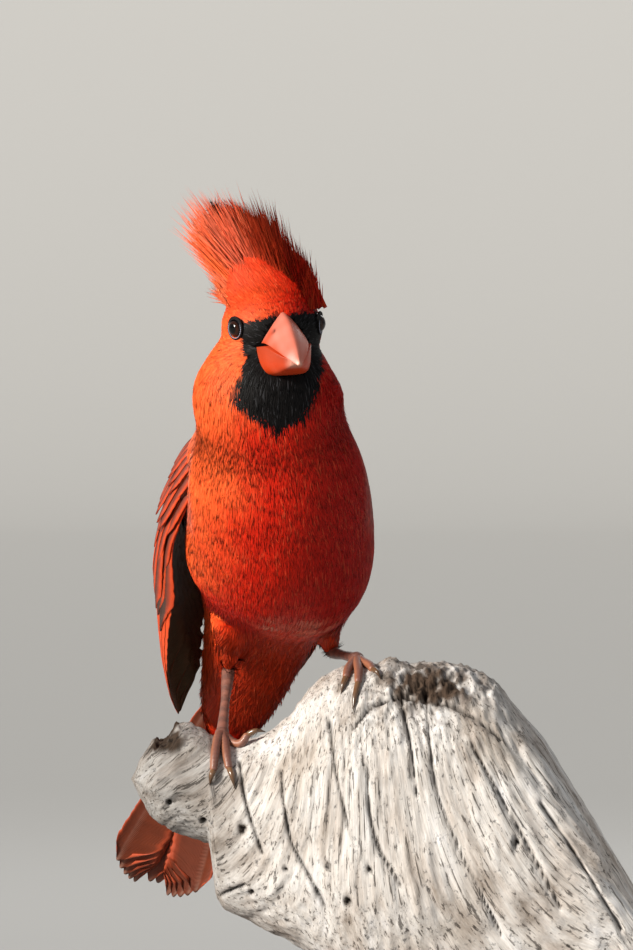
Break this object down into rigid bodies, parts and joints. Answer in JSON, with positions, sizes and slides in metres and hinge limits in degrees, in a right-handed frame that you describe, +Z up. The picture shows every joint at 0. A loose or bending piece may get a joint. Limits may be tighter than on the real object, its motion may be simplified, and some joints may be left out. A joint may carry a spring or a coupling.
{
  "type": "life-size model of a male northern cardinal on a perch",
  "caption": "Male northern cardinal, life-size still model, gripping the broken end of a grey weathered limb, on a plain display stand",
  "frame": {"origin": "middle of the underside of the stand's base", "axes": "+Z up, the bird faces -Y, its own left side is +X"},
  "size_m": [0.178, 0.17, 0.2523],
  "materials": {
    "plumage_red": "orange-red body feathers with a black face mask",
    "plumage_flight": "dusky brown flight and tail feathers with red edges",
    "bill_horn": "coral horn, satin",
    "eye_gloss": "glossy dark brown",
    "leg_skin": "scaled brown-pink skin",
    "claw_horn": "brown horn",
    "grey_wood": "bare weathered grey wood",
    "base_wood": "dark stained wood, satin",
    "rod_steel": "brushed"
  },
  "bodies": {
    "root": {"head": "plumage_red", "neck": "plumage_red", "torso": "plumage_red", "crest": "plumage_red", "thigh_right": "plumage_red", "thigh_left": "plumage_red", "wing_right": "plumage_flight", "wing_left": "plumage_flight", "tail": "plumage_flight", "bill_upper": "bill_horn", "bill_lower": "bill_horn", "eye_right": "eye_gloss", "eye_left": "eye_gloss", "shank_right": "leg_skin", "foot_right": "leg_skin", "shank_left": "leg_skin", "foot_left": "leg_skin", "claw_right_1": "claw_horn", "claw_right_2": "claw_horn", "claw_right_3": "claw_horn", "claw_right_4": "claw_horn", "claw_left_1": "claw_horn", "claw_left_2": "claw_horn", "claw_left_3": "claw_horn", "claw_left_4": "claw_horn", "perch": "grey_wood", "stand_base": "base_wood", "stand_rod_1": "rod_steel", "stand_rod_2": "rod_steel"}
  },
  "joints": []
}
